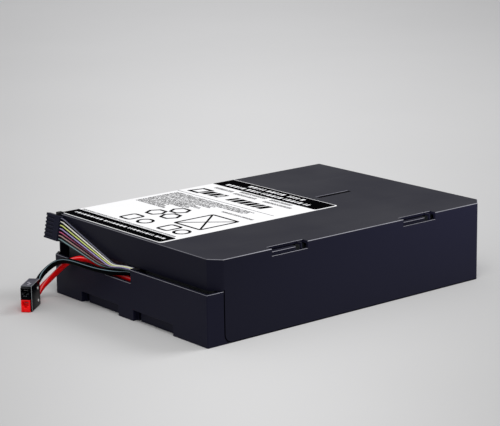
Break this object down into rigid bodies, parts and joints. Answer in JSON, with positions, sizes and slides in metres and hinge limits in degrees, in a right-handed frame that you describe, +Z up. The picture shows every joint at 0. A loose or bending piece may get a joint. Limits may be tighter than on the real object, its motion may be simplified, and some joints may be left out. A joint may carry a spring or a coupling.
{
  "type": "ups battery cartridge",
  "caption": "Flat dark battery cartridge for a rack power supply: clipped moulded case with a top label, heavy leads to a stacked connector and a row of thin sense wires to a slim connector.",
  "frame": {"origin": "bottom centre of the case, cords left out", "axes": "+Z up out of the labelled face, +Y towards the plain rear end, the cords leave at the -Y end, +X to the right when looking along +Y"},
  "size_m": [0.2394, 0.3768, 0.0726],
  "materials": {
    "case_plastic": "fine texture",
    "tray_plastic": "fine texture",
    "label_print": "printed film",
    "battery_case": "moulded",
    "terminal_tin": "tinned",
    "receptacle_cover": "clear nylon",
    "foam": "closed cell",
    "lead_black": "satin",
    "lead_red": "satin",
    "loom_grey": "satin",
    "fuse_body": "clear",
    "clamp_plastic": "moulded",
    "wire_grey_blue": "satin",
    "wire_white": "satin",
    "wire_pale_green": "satin",
    "wire_lavender": "satin",
    "wire_mauve": "satin",
    "wire_brown_pink": "satin",
    "wire_teal_grey": "satin",
    "connector_black": "moulded",
    "connector_red": "moulded",
    "bracket_plastic": "moulded",
    "contact_silver": "plated",
    "pin_steel": "bright"
  },
  "bodies": {
    "root": {"battery_1": "battery_case", "battery_2": "battery_case", "battery_3": "battery_case", "battery_4": "battery_case", "blade_fuse": "fuse_body", "bottom_tray": "tray_plastic", "bracket_pins": "pin_steel", "connector_bracket": "bracket_plastic", "contact_black": "contact_silver", "contact_red": "contact_silver", "foam_strip_1": "foam", "foam_strip_2": "foam", "foam_strip_3": "foam", "foam_strip_4": "foam", "fuse_holder": "clamp_plastic", "fuse_lead_1": "lead_black", "fuse_lead_2": "lead_red", "harness_contacts": "contact_silver", "harness_housing": "connector_black", "harness_retainer": "connector_black", "inner_lead_negative": "lead_black", "inner_lead_positive": "lead_red", "label": "label_print", "pole_housing_black": "connector_black", "pole_housing_red": "connector_red", "power_lead_black": "lead_black", "power_lead_red": "lead_red", "receptacles_1": "receptacle_cover", "receptacles_2": "receptacle_cover", "receptacles_3": "receptacle_cover", "receptacles_4": "receptacle_cover", "sense_loom": "loom_grey", "sense_wire_1": "wire_grey_blue", "sense_wire_2": "wire_white", "sense_wire_3": "wire_pale_green", "sense_wire_4": "wire_lavender", "sense_wire_5": "wire_mauve", "sense_wire_6": "wire_brown_pink", "sense_wire_7": "wire_teal_grey", "series_jumper_1": "lead_black", "series_jumper_2": "lead_red", "temperature_sensor": "clamp_plastic", "terminals_1": "terminal_tin", "terminals_2": "terminal_tin", "terminals_3": "terminal_tin", "terminals_4": "terminal_tin", "top_cover": "case_plastic", "wire_clamp": "clamp_plastic"}
  },
  "joints": []
}
